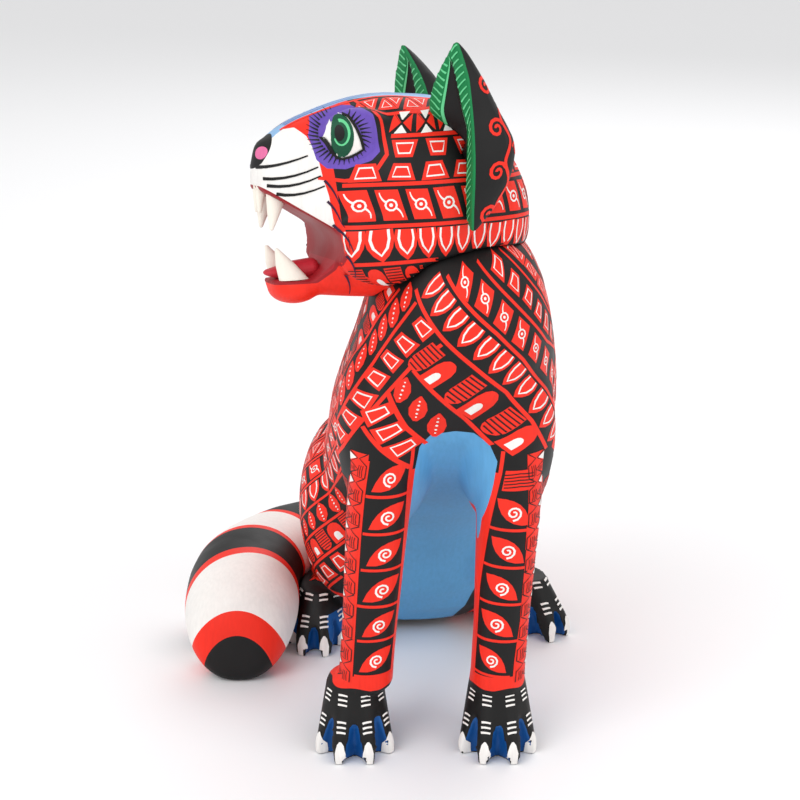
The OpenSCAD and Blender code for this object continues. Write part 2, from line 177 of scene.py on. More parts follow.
# %% Copy a node and remesh it
def evaluated_mesh(thing, name):
    """The object's mesh with its modifiers in it, as a new plain mesh."""
    bpy.context.view_layer.update()
    seen = thing.evaluated_get(bpy.context.evaluated_depsgraph_get())
    mesh = bpy.data.meshes.new_from_object(seen)
    mesh.name = name
    return mesh


def blank(node, name, voxel):
    """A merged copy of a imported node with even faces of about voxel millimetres."""
    copy = new_object(name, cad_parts[node].data.copy())
    copy.data.materials.clear()
    weld = copy.modifiers.new("weld", "WELD")
    weld.merge_threshold = 1e-6
    remesh = copy.modifiers.new("remesh", "REMESH")
    remesh.mode, remesh.voxel_size = "VOXEL", voxel * MM
    mesh = evaluated_mesh(copy, name)
    copy.modifiers.clear()
    copy.data = mesh
    return copy


def points_of(thing):
    points = np.empty(len(thing.data.vertices) * 3)
    thing.data.vertices.foreach_get("co", points)
    return points.reshape(-1, 3)


def evened(thing, values, rounds, step=0.5):
    """Values per point, moved towards the mean of their neighbours' values, rounds times."""
    edges = np.empty(len(thing.data.edges) * 2, int)
    thing.data.edges.foreach_get("vertices", edges)
    a, b = edges.reshape(-1, 2).T
    ends, others = np.concatenate([a, b]), np.concatenate([b, a])
    count = np.maximum(np.bincount(ends, minlength=len(values)), 1)[:, None]
    for _ in range(rounds):
        total = np.stack([np.bincount(ends, column[others], len(values)) for column in values.T], 1)
        values = values + step * (total / count - values)
    return values


def relax(thing, rounds, weight=1.0):
    """Moves every point towards the middle of its neighbours, more where the weight is high."""
    step = 0.5 * (np.ones(len(thing.data.vertices)) * weight)[:, None]
    points = evened(thing, points_of(thing), rounds, step)
    points[:, 2] = np.maximum(points[:, 2], 0)
    thing.data.vertices.foreach_set("co", points.ravel())
    thing.data.update()
    thing.data.shade_smooth()


def fade(values, low, high):
    """0 below low, 1 above high, and a smooth slope between."""
    t = np.clip((np.asarray(values) - low) / (high - low), 0, 1)
    return t * t * (3 - 2 * t)


# %% [markdown]
# Sanding goes round by round. The long forms of torso and tail take most of it. The ears are also
# turned a little: their outer edge stays, and their inner edge moves along the snout's direction.

# %% Sand each piece
EAR_TWIST = {"left": 7.5, "right": -6.0}


def ear_shift(side, across, up):
    """How many millimetres an ear's point comes forward, from its place across and up the head."""
    return EAR_TWIST[side] * np.clip((40 - across) / 18, 0, 1) * fade(up, 16, 30)


carving = blank("body", "carving", 1.15)
height = points_of(carving)[:, 2] / MM
relax(carving, 16, fade(height, 22, 32) + 0.06)
head = blank("head", "carved_head", 0.8)
relax(head, 10)
ears = {side: blank("ear_" + side, "carved_ear_" + side, 0.5) for side in ("left", "right")}
for side, ear in ears.items():
    relax(ear, 3)
    points = points_of(ear)
    spots = in_head(points)
    points += ear_shift(side, np.abs(spots[:, 1]), spots[:, 2])[:, None] * MM * HEAD[:, 0]
    ear.data.vertices.foreach_set("co", points.ravel())
tail = blank("tail", "carved_tail", 1.1)
relax(tail, 24)
for thing in (carving, head, *ears.values(), tail):
    print(thing.name, len(thing.data.polygons), "faces")

# %% [markdown]
# ## Paint
# The paints are water-based acrylics with a soft sheen. Each one gets a slightly uneven colour, as
# brush loads differ, a fine bump from the bristles, and a roughness that wanders a little. The wooden
# pieces carry their grounds as numbers on their points: each number is the distance inside an outline,
# in millimetres, so the edge between two grounds is where it crosses zero and stays a clean line.

# %% Make the paints
def linear(*levels):
    """A colour given in 0 to 255 screen levels, as the shader wants it."""
    return tuple((v / 255 / 12.92) if v < 10 else ((v / 255 + 0.055) / 1.055) ** 2.4 for v in levels) + (1,)


RED, BLACK, WHITE = linear(240, 42, 22), linear(14, 13, 13), linear(238, 235, 231)
DEEP_RED, LIP_RED, CLAW_BLUE = linear(168, 30, 40), linear(150, 22, 30), linear(12, 82, 150)
BELLY_BLUE, BROW_BLUE, VIOLET = linear(92, 160, 208), linear(140, 182, 222), linear(104, 76, 176)
GREEN, LEAF_GREEN, IRIS_GREEN = linear(6, 122, 66), linear(98, 202, 140), linear(8, 78, 52)
PINK, DUSK = linear(226, 110, 160), linear(48, 18, 52)
IVORY, TONGUE_RED, BARE_WOOD = linear(240, 234, 222), linear(196, 44, 58), linear(214, 178, 128)


def join(tree, kind, inputs, **settings):
    """A node with its settings, whose inputs are given as numbers or as other nodes' outputs."""
    made = tree.nodes.new(kind)
    for key, value in settings.items():
        setattr(made, key, value)
    for key, value in inputs.items():
        if isinstance(value, bpy.types.NodeSocket):
            tree.links.new(value, made.inputs[key])
        else:
            made.inputs[key].default_value = value
    return made


def brushed(name, ground, layers=(), bristle=900, unevenness=0.10, roughness=0.52, bump=0.12):
    """A paint: a ground colour, then layers of (attribute, colour) where that attribute is above 0."""
    material = bpy.data.materials.new(name)
    material.use_nodes = True
    material.diffuse_color = ground
    tree = material.node_tree
    shader = tree.nodes["Principled BSDF"]
    shader.inputs["Specular IOR Level"].default_value = 0.3
    place = tree.nodes.new("ShaderNodeTexCoord").outputs["Object"]
    colour = None
    for attribute, paint in layers:
        inside = join(tree, "ShaderNodeAttribute", {}, attribute_name=attribute).outputs["Fac"]
        mask = join(tree, "ShaderNodeMath", {0: inside, 1: 0.0}, operation="GREATER_THAN").outputs[0]
        below = ground if colour is None else colour
        mix = join(tree, "ShaderNodeMix", {0: mask, 6: below, 7: paint}, data_type="RGBA")
        colour = mix.outputs[2]
    streak = join(tree, "ShaderNodeMapping",
                  {"Vector": place, "Scale": (bristle, bristle * 0.7, bristle * 0.12)})
    noise = {"Vector": streak.outputs[0], "Scale": 1.0, "Detail": 3.0}
    bristles = join(tree, "ShaderNodeTexNoise", noise).outputs["Fac"]
    noise = {"Vector": place, "Scale": 55.0, "Detail": 2.0}
    loads = join(tree, "ShaderNodeTexNoise", noise).outputs["Fac"]
    shade = join(tree, "ShaderNodeMath", {0: bristles, 1: loads}, operation="ADD")
    value = join(tree, "ShaderNodeMapRange", {"Value": shade.outputs[0], "From Min": 0.6, "From Max": 1.4,
                                              "To Min": 1 - unevenness, "To Max": 1 + unevenness})
    tone = join(tree, "ShaderNodeHueSaturation", {"Color": ground if colour is None else colour,
                                                  "Value": value.outputs[0]})
    rough = join(tree, "ShaderNodeMapRange", {"Value": loads, "From Min": 0.3, "From Max": 0.7,
                                              "To Min": roughness - 0.06, "To Max": roughness + 0.08})
    lump = join(tree, "ShaderNodeBump", {"Height": bristles, "Strength": bump, "Distance": 0.0004})
    tree.links.new(tone.outputs[0], shader.inputs["Base Color"])
    tree.links.new(rough.outputs[0], shader.inputs["Roughness"])
    tree.links.new(lump.outputs[0], shader.inputs["Normal"])
    return material


# the paints of the brushwork, by name
PAINTS = {name: brushed(name + "_paint", colour) for name, colour in (
    ("red", RED), ("black", BLACK), ("white", WHITE), ("leaf_green", LEAF_GREEN),
    ("iris_green", IRIS_GREEN), ("dusk", DUSK), ("violet", VIOLET))}
print(len(PAINTS), "brush paints")

# %% [markdown]
# ## Grounds
# The grounds are the large plain areas that are painted first: black under the patterns, blue on the
# belly and between the toes, white on the muzzle, and the rings of the tail. Each outline is either a
# formula or a short polygon in the piece's own millimetres.

# %% Distance helpers
both, either = np.minimum, np.maximum


def inside(points, outline):
    """The distance of 2-D points inside a closed outline, negative outside it."""
    outline = np.asarray(outline, float)
    nearest = np.full(len(points), 1e9)
    crossings = np.zeros(len(points), int)
    for a, b in zip(outline, np.roll(outline, -1, axis=0)):
        along = np.clip(((points - a) @ (b - a)) / ((b - a) @ (b - a)), 0, 1)
        nearest = np.minimum(nearest, lengths(points - a - along[:, None] * (b - a)))
        rises = (a[1] > points[:, 1]) != (b[1] > points[:, 1])
        edge = a[0] + (points[:, 1] - a[1]) * (b[0] - a[0]) / (b[1] - a[1] if b[1] != a[1] else 1)
        crossings += rises & (points[:, 0] < edge)
    return np.where(crossings % 2 == 1, nearest, -nearest)


def note(thing, name, values):
    """Writes one number per point on a piece, for its paint to read."""
    layer = thing.data.attributes.new(name, "FLOAT", "POINT")
    layer.data.foreach_set("value", np.asarray(values, np.float32))


def hull_depth(points, low, high):
    """How deep each point of a paw lies under the paw's own convex hull, in the given box."""
    chosen = ((points > low) & (points < high)).all(axis=1)
    depth = np.full(len(points), -1.0)
    mesh = bpy.data.meshes.new("hull")
    mesh.from_pydata(points[chosen].tolist(), [], [])
    shell = bmesh.new()
    shell.from_mesh(mesh)
    bmesh.ops.convex_hull(shell, input=shell.verts)
    tree = BVHTree.FromBMesh(shell)
    depth[chosen] = [tree.find_nearest(Vector(p))[3] for p in points[chosen]]
    shell.free()
    bpy.data.meshes.remove(mesh)
    return depth


# %% [markdown]
# The body is black under its patterns. The belly is blue between the legs, up to a narrow arch, and the
# inner sides of the legs are plain red. The blue notches between the toes are the places that lie deep
# under the paw's convex hull. A place is in both of two grounds where the smaller distance is above
# zero, and in either of them where the larger one is.

# %% Ground of the body
TORSO_ROUND, LEG_ROUND, HEAD_ROUND = 52, 12, 35
LEAN = {-1: 0.075, 1: 0.05}
LEG_MID = {side: np.array([21.9 + side * 23.5 - LEAN[side] * 60, -72.75, 0]) for side in (-1, 1)}
LEG_CLIMB = {side: np.array([LEAN[side], 0.04, 1]) for side in (-1, 1)}
INNER_LINE = {-1: [(-11, 31), (-11, 116)], 1: [(-11, 31), (-10, 65), (-7, 90), (-4.5, 108), (-4, 116)]}
NOTCH_DEPTH, NOTCH_TOP, FAR_OUTSIDE = 0.55, 15.5, -100.0
HIND_TOES = {-1: (np.array([-26.6, 0.25]), -6), 1: (np.array([74.4, 17.25]), 44)}


def round_chart(points, middle, climb, radius):
    """Round a standing middle line: the distance round from the front, and the height."""
    offset = points - middle - points[:, 2:3] * climb
    return np.stack([radius * np.arctan2(offset[:, 0], -offset[:, 1]), points[:, 2]], 1)


def hind_place(points, side):
    """Points in a hind paw's own frame: across it, and back from its toes."""
    toes, splay = HIND_TOES[side]
    return (points[:, :2] - toes) @ turned(splay, "z")[:2, :2]


points = points_of(carving) / MM
torso_place = round_chart(points, RUMP_MID / MM, CLIMB * [1, 1, 0], TORSO_ROUND)
arch = [(5, 122.5), (-1, 121), (-3.6, 116), (-3.8, 108), (-2.6, 60), (10.5, 60), (12, 90), (14, 104),
        (15, 112), (13.5, 118), (10, 121.5)]
hollow = [(5, 115), (-6, 110), (-12, 94), (-20, 78), (-22, 60), (-22, 4), (36, 4), (34, 60), (30, 78),
          (26, 94), (18, 110)]
facing_front = fade(points[:, 1], -88, -86) * 200 - 100
belly = both(inside(torso_place, hollow), facing_front)
red_inner = np.full(len(points), FAR_OUTSIDE)
paw_zone = np.full(len(points), FAR_OUTSIDE)
for side in (-1, 1):
    leg_place = round_chart(points, LEG_MID[side], LEG_CLIMB[side] * [1, 1, 0], LEG_ROUND) * [side, 1]
    near = 17 - lengths(points[:, :2] - LEG_MID[side][:2] - points[:, 2:3] * LEG_CLIMB[side][:2])
    panel_edge = np.interp(points[:, 2], *np.transpose(INNER_LINE[side])[::-1])
    strip = both(panel_edge + 0.3 - leg_place[:, 0], 108 - points[:, 2])
    red_inner = either(red_inner, both(strip, near))
    belly = both(belly, -near)
    ankle = 31.5 - points[:, 2]
    red_inner = either(red_inner, both(ankle, near + 6))
    edge = 26.5 + 0.5 * np.sin(leg_place[:, 0] * 0.45) - points[:, 2]
    paw_zone = either(paw_zone, both(edge, -46 - points[:, 1]))
    across, back = hind_place(points, side).T
    sole = both(24 - points[:, 2], both(16 - np.abs(across), 42 - back))
    paw_zone = either(paw_zone, sole)
    ankle = both(29 - points[:, 2], both(20 - np.abs(across), 46 - back))
    red_inner = either(red_inner, ankle)
belly = either(belly, both(inside(torso_place, arch), points[:, 2] - 66))
notch = np.full(len(points), -1.0)
for low, high in (((-26, -100, -1), (18, -64, 24)), ((18, -100, -1), (65, -64, 24)),
                  ((-50, -6, -1), (-8, 18, 21)), ((50, -10, -1), (84, 42, 21))):
    notch = either(notch, hull_depth(points, low, high))
note(carving, "belly", belly)
note(carving, "red_inner", red_inner)
note(carving, "paw", paw_zone)
note(carving, "notch", both(notch - NOTCH_DEPTH, NOTCH_TOP - points[:, 2]))
carving.data.materials.append(brushed("body_grounds", BLACK, [
    ("red_inner", RED), ("belly", BELLY_BLUE), ("paw", BLACK), ("notch", CLAW_BLUE)]))
print("body grounds: belly", int((belly > 0).sum()), "paws", int((paw_zone > 0).sum()), "points")

# %% [markdown]
# The head is black behind and red in front. The muzzle is white, the eyes lie on violet patches, and a
# blue stripe runs from the nose over the crown. The mouth is dark red inside a thin lip. Most outlines
# are drawn from the side and go through the whole head, so both cheeks are painted at once.

# %% Ground of the head
MOUTH_EDGE = [(39, -17), (41, -10.5), (52, -3.2), (68, 7.7), (75, 12), (75, -27), (46, -27), (41, -23)]
MUZZLE = [(56, 24), (50, 25), (47, 22), (44.5, 15), (43.5, 8), (42, 2), (41, -6), (38, -19), (41, -12),
          (46, -7), (52, -3), (58, 0), (70, 6), (75, 24)]
EYE_PATCH = [(45, 14), (46.5, 22), (44, 28.5), (38, 32), (30, 31.5), (26, 28.5), (25, 16), (28, 13),
             (36, 10.5), (42, 11)]
FACE = [(38.5, 40), (30, 34), (30, 25), (40, 12), (39, 0), (37.5, -18), (36, -24), (20, -31.5), (10, -50),
        (80, -50), (80, 40)]
spots = in_head(points_of(head))
side_view = spots[:, [0, 2]]
along, across, up = spots.T
stripe = 5.6 + 4.5 * fade(-along, -32, -14)
note(head, "face", inside(side_view, FACE))
note(head, "muzzle", inside(side_view, MUZZLE))
note(head, "eye_patch", both(inside(side_view, EYE_PATCH), np.abs(across) - 6))
note(head, "stripe", np.min([stripe - np.abs(across), 59 - along, along + 12, up - 8], axis=0))
note(head, "lip", both(inside(side_view, MOUTH_EDGE) + 1.3, along - 36))
note(head, "mouth", inside(side_view, MOUTH_EDGE) + 0.3)
note(head, "nose", 7 * (1 - lengths((spots - [62.5, 0, 18.4]) / [8.2, 9.5, 7.0])))
folded = spots * [1, 0, 1] + np.abs(spots) * [0, 1, 0]
note(head, "nostril", 3 * (1 - lengths((folded - [63.5, 6, 17.2]) / [4.6, 4.2, 2.7])))
head.data.materials.append(brushed("head_grounds", BLACK, [
    ("face", RED), ("muzzle", WHITE), ("stripe", BROW_BLUE), ("eye_patch", VIOLET), ("lip", LIP_RED),
    ("mouth", DEEP_RED), ("nose", BLACK), ("nostril", PINK)]))
print("head grounds:", len(head.data.attributes), "numbers per point")

# %% [markdown]
# An ear is green in front, round a dark diamond where the wood is hollow, and black behind.

# %% Ground of the ears
EAR_MID_SIDE, EAR_FRONT, EDGE = 35, -2, 0.75
DIAMOND = [(-3, 0.6), (2.6, 22.6), (-3, 44.6), (-9, 22.6)]
for side, ear in (("left", ears["left"]), ("right", ears["right"])):
    spots = in_head(points_of(ear)) * [1, 1 if side == "left" else -1, 1]
    flat = spots[:, 1:] - [EAR_MID_SIDE, 0]
    note(ear, "front", spots[:, 0] - ear_shift(side, *spots[:, 1:].T) - (EAR_FRONT - EDGE))
    note(ear, "hollow", inside(flat, DIAMOND) + 0.5)
    ear.data.materials.append(brushed("ear_grounds_" + side, BLACK, [("front", GREEN), ("hollow", BLACK)]))
    print(ear.name, "has its inner edge turned by", EAR_TWIST[side], "mm")

# %% [markdown]
# The rings of the tail follow the distance from its tip along its curved middle line. That distance is
# kept as one number per point, and a ramp with sharp steps turns it into black, white and red rings.

# %% Ground of the tail
RING_SPAN = 200
RINGS = [(0, BLACK), (19.5, RED), (28.5, WHITE), (60, RED), (65, BLACK), (88, RED), (92, WHITE),
         (112, RED), (115, BLACK), (135, RED), (138, WHITE), (156, RED), (159, BLACK), (178, RED)]
tail_middle = np.array([(-55.1, -23.75), (-55.1, 29.3), (-45.6, 50.3), (-28.6, 69.3), (-6.6, 72.8),
                        (6.4, 60.3)])
for _ in range(3):
    before, after = tail_middle[:-1], tail_middle[1:]
    cut = np.stack([before * 0.75 + after * 0.25, before * 0.25 + after * 0.75], 1).reshape(-1, 2)
    tail_middle = np.concatenate([tail_middle[:1], cut, tail_middle[-1:]])
points = points_of(tail) / MM
best = np.full(len(points), 1e9)
travel, offset, start = np.zeros(len(points)), np.zeros(len(points)), 0.0
for a, b in zip(tail_middle, tail_middle[1:]):
    length = np.linalg.norm(b - a)
    ahead = (b - a) / length
    reach = np.clip((points[:, :2] - a) @ ahead, 0, length)
    apart = points[:, :2] - a - reach[:, None] * ahead
    nearer = lengths(apart) < best
    best = np.where(nearer, lengths(apart), best)
    travel = np.where(nearer, start + reach, travel)
    offset = np.where(nearer, apart @ np.array([ahead[1], -ahead[0]]), offset)
    start += length
tip_distance = lengths((points - [-55, -24, 1]) * [1.4, 0.9, 1])
past_tip = np.maximum(36, travel + 35 - 0.28 * offset - 0.2 * (points[:, 2] - 20))
ring = np.where(tip_distance < 36, tip_distance, past_tip)
note(tail, "ring", evened(tail, ring[:, None], 30)[:, 0] / RING_SPAN)
tail_paint = brushed("tail_grounds", WHITE, unevenness=0.06)
tree = tail_paint.node_tree
ramp = tree.nodes.new("ShaderNodeValToRGB")
ramp.color_ramp.interpolation = "CONSTANT"
while len(ramp.color_ramp.elements) < len(RINGS):
    ramp.color_ramp.elements.new(1)
for stop, (place, colour) in zip(ramp.color_ramp.elements, RINGS):
    stop.position, stop.color = place / RING_SPAN, colour
travelled = join(tree, "ShaderNodeAttribute", {}, attribute_name="ring")
tree.links.new(travelled.outputs["Fac"], ramp.inputs["Fac"])
tree.links.new(ramp.outputs["Color"], tree.nodes["Hue/Saturation/Value"].inputs["Color"])
tail.data.materials.append(tail_paint)
print("tail rings:", len(RINGS))

# %% [markdown]
# ## Brushwork
# The fine pattern is real geometry too: thin sheets of paint, from a tenth to two thirds of a
# millimetre above the ground, one over the other. Every shape is first drawn flat, in millimetres, and
# then laid on the wood by a Geometry Nodes tree. A chart tells the tree how to wrap the drawing: round
# a middle line, or straight from one side. Each point becomes a ray towards the wood, and moves to
# where that ray lands. So the bands bend over shoulders and haunches as a brush would follow them.

# %% Flat shapes
CELL = 1.5


def ribbon(left, right, columns=None):
    """Quads between two edges with the same number of points, with rows no longer than a cell."""
    left, right = np.array(left, float), np.array(right, float)
    if columns is None:
        columns = max(1, math.ceil(lengths(right - left).max() / CELL))
    jumps = np.maximum(lengths(np.diff(left, axis=0)), lengths(np.diff(right, axis=0)))
    places = [0.0]
    for first, jump in enumerate(jumps):
        parts = max(1, math.ceil(jump / CELL))
        places += [first + (part + 1) / parts for part in range(parts)]
    order = np.arange(len(left))
    left, right = (np.stack([np.interp(places, order, edge[:, k]) for k in (0, 1)], 1)
                   for edge in (left, right))
    steps = np.linspace(0, 1, columns + 1)
    points = [a + (b - a) * t for a, b in zip(left, right) for t in steps]
    faces = []
    for row in range(len(left) - 1):
        for column in range(columns):
            first = row * (columns + 1) + column
            faces.append((first, first + 1, first + columns + 2, first + columns + 1))
    return points, faces


print("ribbons are cut in cells of", CELL, "mm, so that they can bend")

# %% [markdown]
# A stroke is a ribbon along a path, and a curl is a stroke that winds in. Two drawings are joined by
# putting one list of points behind the other.

# %% Strokes, dots and curls
def square_to(ahead):
    """Vectors of length 1 that stand square to some directions."""
    return np.stack([-ahead[:, 1], ahead[:, 0]], 1) / lengths(ahead)[:, None]


def stroke(points, width, end_width=None):
    """One brush stroke along some points, which may taper."""
    points = np.array(points, float)
    normal = square_to(np.gradient(points, axis=0))
    half = np.linspace(width, width if end_width is None else end_width, len(points))[:, None] / 2
    return ribbon(points + normal * half, points - normal * half, 1)


def outline(corners, width):
    """A closed stroke through some corners."""
    points = np.array(corners, float)
    normal = square_to(np.roll(points, -1, axis=0) - np.roll(points, 1, axis=0))
    near, far = points + normal * width / 2, points - normal * width / 2
    return ribbon([*near, near[0]], [*far, far[0]], 1)


def dot(x, y, radius, sides):
    """A small round dot, as one polygon."""
    angles = np.linspace(0, 2 * math.pi, sides, endpoint=False)
    rim = [np.array([x + radius * math.cos(a), y + radius * math.sin(a)]) for a in angles]
    return rim, [tuple(range(sides))]


def disc(x, y, half_width, half_height, count=12):
    """A large oval, in small cells that can follow the wood."""
    angles = np.linspace(0, math.pi, count)
    left = [(x - half_width * math.sin(a), y + half_height * math.cos(a)) for a in angles]
    return ribbon(left, [(2 * x - a, b) for a, b in left])


def curl(x, y, radius, turns, width, start=0.0, hand=1):
    """A spiral stroke that winds in to its middle."""
    angles = np.linspace(0, 2 * math.pi * turns, int(10 * turns) + 2)
    reach = radius * (1 - 0.85 * angles / angles[-1])
    turned_by = start + hand * angles
    points = np.stack([x + reach * np.cos(turned_by), y + reach * np.sin(turned_by)], 1)
    return stroke(points, width, width * 0.8)


def bent(start, bend, end, count=6):
    """Points along a curve from start to end that leans towards a third point."""
    t = np.linspace(0, 1, count)[:, None]
    start, bend, end = (np.array(p, float) for p in (start, bend, end))
    return (1 - t) ** 2 * start + 2 * t * (1 - t) * bend + t ** 2 * end


def together(*shapes):
    """Several drawings as one."""
    points, faces = [], []
    for some, corners in shapes:
        faces += [tuple(i + len(points) for i in face) for face in corners]
        points += list(some)
    return points, faces


def moved(shape, x, y, turn=0.0, size=1.0):
    c, s = math.cos(math.radians(turn)) * size, math.sin(math.radians(turn)) * size
    return [np.array([x + c * p[0] - s * p[1], y + s * p[0] + c * p[1]]) for p in shape[0]], shape[1]


def flat_mesh(name, shape):
    mesh = bpy.data.meshes.new(name)
    mesh.from_pydata([(p[0] * MM, p[1] * MM, 0) for p in shape[0]], [], shape[1])
    return mesh


print("a stroke of 5 mm has", len(stroke([(0, 0), (0, 5)], 1)[1]), "faces")


# %% [markdown]
# A motif is one small repeated mark, mostly 8 to 10 mm tall, in two or three layers: red below, and
# white and black above. Petals, spirals, triangles, dotted leaves and hatched lobes fill the bands.

# %% Motifs
def mirrored(edge):
    """A filled shape between an edge and its mirror image."""
    return ribbon(edge, [(-x, y) for x, y in edge])


def slab(corners):
    """A filled four-cornered shape: top left, top right, bottom right, bottom left."""
    return ribbon([corners[0], corners[3]], [corners[1], corners[2]])


def inset(corners, amount):
    middle = np.mean(corners, axis=0)
    return [middle + (np.array(c) - middle) * amount for c in corners]


PETAL = [(-2.7, 4.3), (-3.0, 1.8), (-2.6, -0.8), (-1.6, -3.0), (-0.1, -4.7)]
PETAL_LINE = [(-1.7, 4.2), (-1.9, 1.6), (-1.4, -0.8), (0, -2.9), (1.4, -0.8), (1.9, 1.6), (1.7, 4.2)]
SLOPE = [(-4.2, 4.3), (1.9, 4.3), (4.2, -4.3), (-1.9, -4.3)]
TRAPEZE = [(-2.0, 4.0), (2.0, 4.0), (3.1, -4.0), (-3.1, -4.0)]
UP = [(-2.2, 4.0), (-1.8, 4.0), (1.8, -4.2), (-5.8, -4.2)]
DOWN = [(-1.5, 4.4), (5.9, 4.4), (2.2, -4.0), (1.8, -4.0)]
WIDE = [(-2.9, 2.9), (2.9, 2.9), (4.7, -2.9), (-4.7, -2.9)]
LEAF = [(-0.2, 4.6), (-1.7, 2.4), (-2.3, 0), (-1.9, -2.4), (-0.5, -4.4)]
LOBE = [(-2.35, 4.3), (-2.35, -1.2), (-1.9, -2.9), (-1.0, -3.9), (-0.3, -4.1)]


def three(corners):
    """A small triangle with a white line round it, from a slab's three true corners."""
    return outline(inset(corners, 0.5), 0.5)


def leaf(turn):
    """A dotted leaf that leans over."""
    return {"red": moved(mirrored(LEAF), 0, 0, turn, 1.1), "white": moved(DOTS, 0, 0, turn)}


DOTS = together(*[dot(0, y, r, 6)
                  for y, r in ((3.0, 0.3), (1.5, 0.38), (-0.1, 0.42), (-1.8, 0.38), (-3.2, 0.3))])
MOTIFS = {
    "petal": {"red": mirrored(PETAL), "white": stroke(PETAL_LINE, 0.6)},
    "spiral": {"red": slab(SLOPE), "white": together(
        outline(dot(0, 0, 1.5, 10)[0], 0.55), dot(0, 0, 0.55, 6),
        stroke(bent((-1.3, 0.8), (-2.6, 1.6), (-3.0, 3.5)), 0.6, 0.25),
        stroke(bent((1.3, -0.8), (2.6, -1.6), (3.0, -3.5)), 0.6, 0.25))},
    "trapeze": {"red": slab(TRAPEZE), "white": outline(inset(TRAPEZE, 0.62), 0.6)},
    "triangles": {"red": together(slab(UP), slab(DOWN)), "white": together(
        three([(-2.0, 4.0), (1.8, -4.2), (-5.8, -4.2)]), three([(-1.5, 4.4), (5.9, 4.4), (2.0, -4.0)]))},
    "hatch": {"red": together(moved(mirrored(LOBE), -2.7, 0), moved(mirrored(LOBE), 2.7, 0, 180)),
              "black": together(*[stroke([(-4.9 + 0.9 * (y < -3), y), (-0.5 - 0.9 * (y < -3), y)], 0.36)
                                  for y in np.arange(3.6, -3.8, -1.1)]),
              "white": moved(mirrored(LOBE), 2.7, -1.6, 180, 0.42)},
    "leaf": {"red": mirrored(LEAF), "white": DOTS},
    "leaf_right": leaf(45),
    "leaf_left": leaf(-50),
    "cross": {"red": together(slab([(-4.4, 3.6), (-4.2, 3.9), (-0.3, 0.1), (-0.3, -0.1)]),
                              slab([(-4.4, 3.4), (-0.6, 0), (-0.6, -0.1), (-4.4, -3.4)]),
                              slab([(0.6, 0), (4.4, 3.4), (4.4, -3.4), (0.6, -0.1)])),
              "white": together(slab([(-2.6, 3.9), (2.6, 3.9), (0.2, 1.0), (-0.2, 1.0)]),
                                slab([(-0.2, -1.0), (0.2, -1.0), (2.6, -3.9), (-2.6, -3.9)]))},
    "wide": {"red": slab(WIDE), "white": outline([(-1.9, 1.6), (1.9, 1.6), (3.0, -1.7), (-3.0, -1.7)], 0.6)},
    "zigzag": {"red": slab([(-4.4, 5.0), (4.4, 5.0), (4.4, -5.0), (-4.4, -5.0)]),
               "black": together(stroke([(-4.4, 5.0), (-2.2, 0.4), (0, 5.0), (2.0, -0.6), (4.4, 5.0)], 0.55),
                                 stroke([(-4.4, -4.6), (-2.2, -0.6), (0, -4.6), (4.4, -4.6)], 0.45),
                                 *[stroke([(x - 0.8, y), (x + 0.8, y - 0.5)], 0.32)
                                   for x, y in ((2.2, 4.2), (2.2, 3.1), (2.1, 2.0))],
                                 *[stroke([(0.2, y), (2.2, y + 0.4), (4.2, y)], 0.32)
                                   for y in (-0.9, -2.0, -3.1)]),
               "white": slab([(-3.7, 4.9), (-0.7, 4.9), (-2.1, 1.3), (-2.3, 1.3)])},
    "eyelet": {"red": together(ribbon(bent((-5.0, -6.4), (-6.4, 3.2), (4.6, 6.2), 7),
                                      bent((-5.0, -6.4), (5.4, -4.4), (4.6, 6.2), 7)),
                               slab([(5.9, 8), (7.0, 8), (7.0, -8), (5.9, -8)])),
               "white": curl(0, -0.2, 2.7, 1.6, 0.75)},
}
motif_objects = {(name, paint): new_object(name + "_" + paint, flat_mesh(name, shape))
                 for name, layers in MOTIFS.items() for paint, shape in layers.items()}
print(len(MOTIFS), "motifs in", len(motif_objects), "layers")

# %% [markdown]
# Three trees do the laying. The first repeats a motif along a path with small seeded changes of turn
# and size, because no two brush marks are the same. The second draws a line along a path. The third
# lays a drawing as it is. They share the same last steps.

# %% The part all three trees share
CHART_INPUTS = (("Wood", "Object"), ("Middle", "Vector"), ("Climb", "Vector"), ("Facing", "Vector"),
                ("Side", "Vector"), ("Roundness", "Float"), ("Reach", "Float"), ("Depth", "Float"),
                ("Tear", "Float"), ("Handed", "Float"), ("Lift", "Float"), ("Paint", "Material"))


def begin(name, inputs):
    """An empty tree with named inputs. Gives the tree, its input sockets and its output socket."""
    tree = bpy.data.node_groups.new(name, "GeometryNodeTree")
    for label, kind in (("Geometry", "Geometry"), *inputs, *CHART_INPUTS):
        tree.interface.new_socket(label, in_out="INPUT", socket_type="NodeSocket" + kind)
    tree.interface.new_socket("Geometry", in_out="OUTPUT", socket_type="NodeSocketGeometry")
    return tree, tree.nodes.new("NodeGroupInput").outputs, tree.nodes.new("NodeGroupOutput").inputs[0]


def number(tree, operation, a, b=0.0):
    """A sum of two numbers, or another operation on them."""
    return join(tree, "ShaderNodeMath", {0: a, 1: b}, operation=operation).outputs[0]


def geo(tree, kind, inputs, **settings):
    """The first output of a new geometry node."""
    return join(tree, "GeometryNode" + kind, inputs, **settings).outputs[0]


def add(tree, a, b):
    return join(tree, "ShaderNodeVectorMath", {0: a, 1: b}, operation="ADD").outputs[0]


def times(tree, vector, amount):
    return join(tree, "ShaderNodeVectorMath", {0: vector, "Scale": amount}, operation="SCALE").outputs[0]


